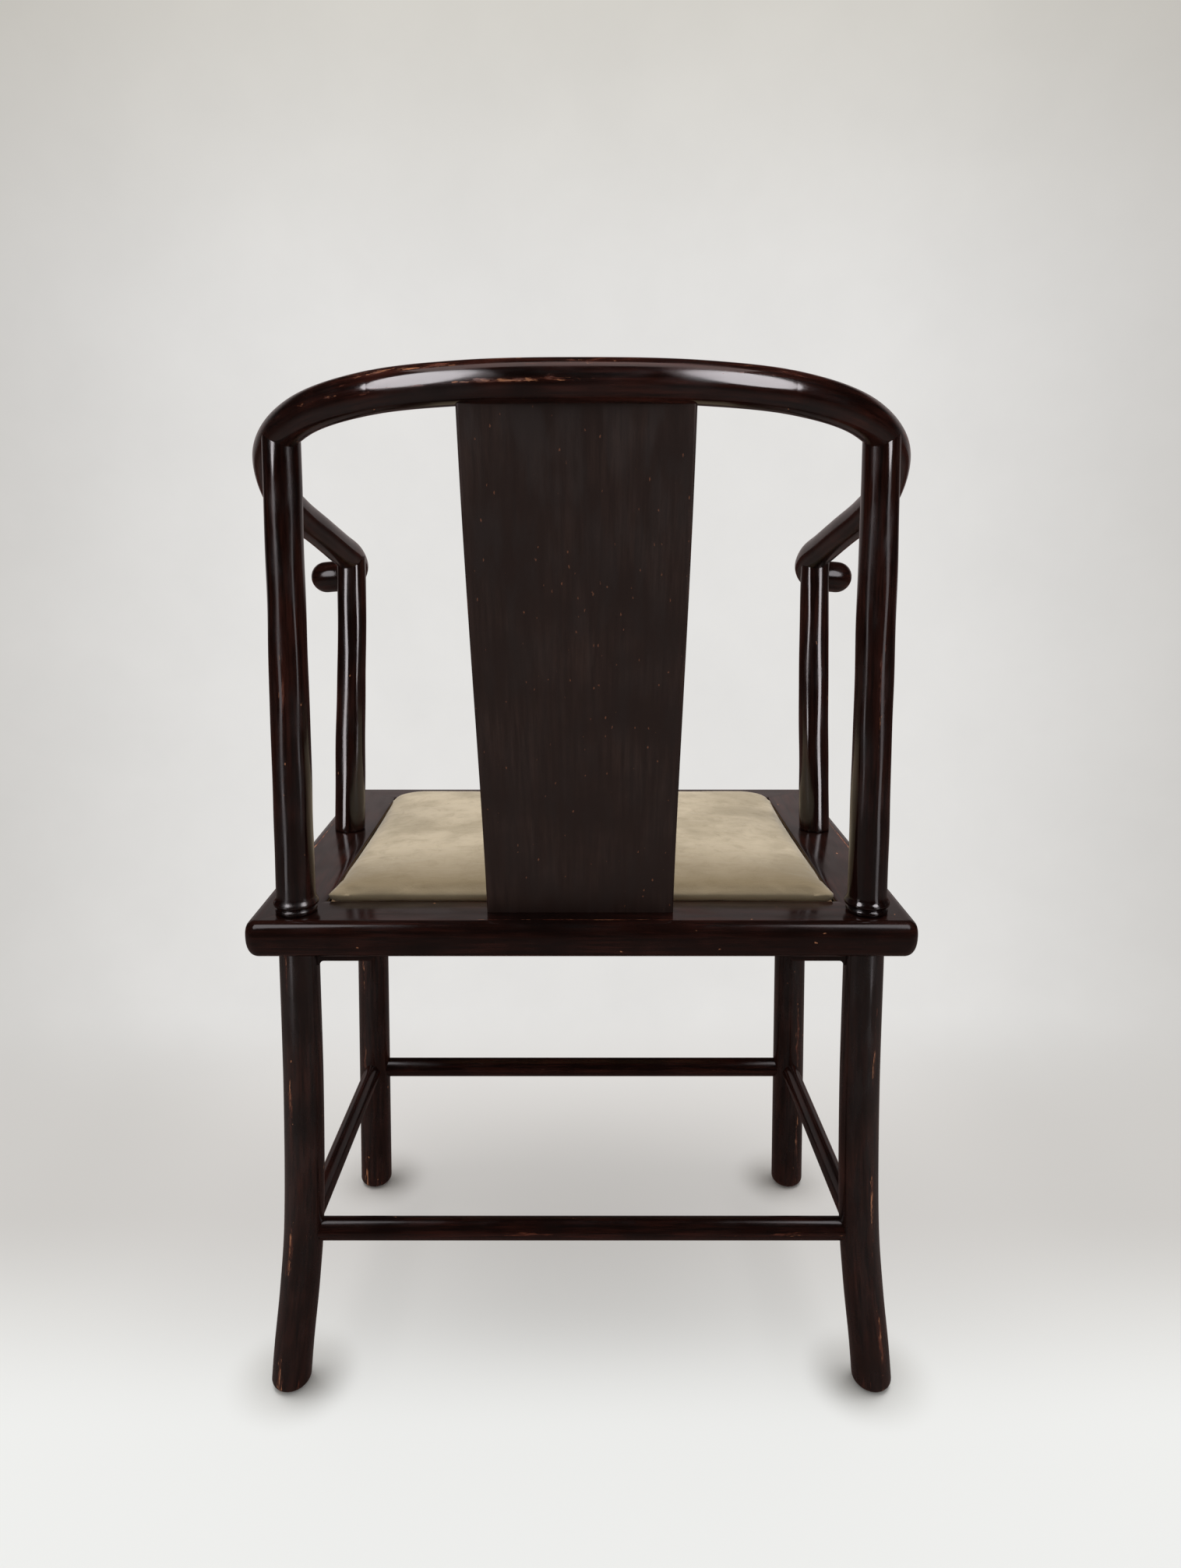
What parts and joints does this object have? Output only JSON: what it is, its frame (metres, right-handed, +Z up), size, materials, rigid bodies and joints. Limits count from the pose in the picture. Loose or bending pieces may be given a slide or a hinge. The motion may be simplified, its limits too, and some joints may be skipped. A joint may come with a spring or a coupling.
{
  "type": "accent chair",
  "caption": "Horseshoe-back armchair in worn near-black lacquered wood: a continuous round rail for back and arms, a plain splat, splayed legs and a beige leather slip seat.",
  "frame": {"origin": "on the floor, in the middle of the chair's overall width and depth", "axes": "+Z up, -Y is the front of the chair, +X is on the right of someone who looks at its front"},
  "size_m": [0.631, 0.5565, 0.9597],
  "materials": {
    "lacquered_wood": "glossy, worn near-black lacquer",
    "satin_lacquered_wood": "satin near-black lacquer",
    "raw_wood": "planed, unfinished",
    "leather": "soft, mottled, matt"
  },
  "bodies": {
    "root": {"arm_post_left": "lacquered_wood", "arm_post_right": "lacquered_wood", "arm_rail_left": "lacquered_wood", "arm_rail_right": "lacquered_wood", "back_splat": "satin_lacquered_wood", "crest_rail_middle": "lacquered_wood", "crest_rail_shoulder_left": "lacquered_wood", "crest_rail_shoulder_right": "lacquered_wood", "front_leg_left": "lacquered_wood", "front_leg_right": "lacquered_wood", "rear_leg_left": "lacquered_wood", "rear_leg_right": "lacquered_wood", "rear_post_left": "lacquered_wood", "rear_post_right": "lacquered_wood", "scarf_wedge_arm_left": "raw_wood", "scarf_wedge_arm_right": "raw_wood", "scarf_wedge_back_left": "raw_wood", "scarf_wedge_back_right": "raw_wood", "seat_batten_left": "raw_wood", "seat_batten_right": "raw_wood", "seat_board": "raw_wood", "seat_pad": "leather", "seat_rail_front": "lacquered_wood", "seat_rail_left": "lacquered_wood", "seat_rail_rear": "lacquered_wood", "seat_rail_right": "lacquered_wood", "spandrel_front_cross_left": "lacquered_wood", "spandrel_front_cross_right": "lacquered_wood", "spandrel_front_side_left": "lacquered_wood", "spandrel_front_side_right": "lacquered_wood", "spandrel_rear_cross_left": "lacquered_wood", "spandrel_rear_cross_right": "lacquered_wood", "spandrel_rear_side_left": "lacquered_wood", "spandrel_rear_side_right": "lacquered_wood", "stretcher_front": "lacquered_wood", "stretcher_left": "lacquered_wood", "stretcher_rear": "lacquered_wood", "stretcher_right": "lacquered_wood"}
  },
  "joints": []
}
